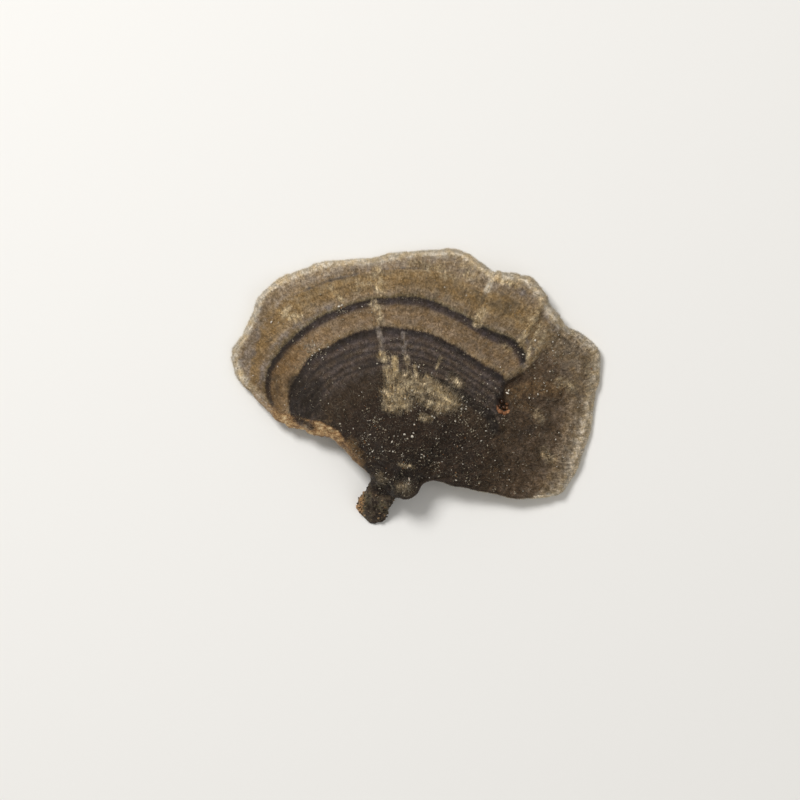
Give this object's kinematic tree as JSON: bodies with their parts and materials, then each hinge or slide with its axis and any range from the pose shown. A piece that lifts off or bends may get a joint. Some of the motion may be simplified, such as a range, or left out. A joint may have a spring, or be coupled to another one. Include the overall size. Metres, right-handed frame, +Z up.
{
  "type": "turkey tail fungus",
  "caption": "Dried turkey tail bracket: a thin, shallow-domed fan with a banded, velvety upper face, a lobe fused to its side and a short stub cut flat. It lies on its pore side.",
  "frame": {"origin": "middle of the bottom face of the bounding box, on the surface that the bracket lies on", "axes": "+X to the right across the fan, from the small left end to the side lobe; +Y from the stub to the growing margin; +Z up, out of the banded upper face"},
  "size_m": [0.083, 0.0626, 0.0119],
  "materials": {
    "bracket_flesh": "matte"
  },
  "bodies": {
    "root": {"bracket": "bracket_flesh"}
  },
  "joints": []
}
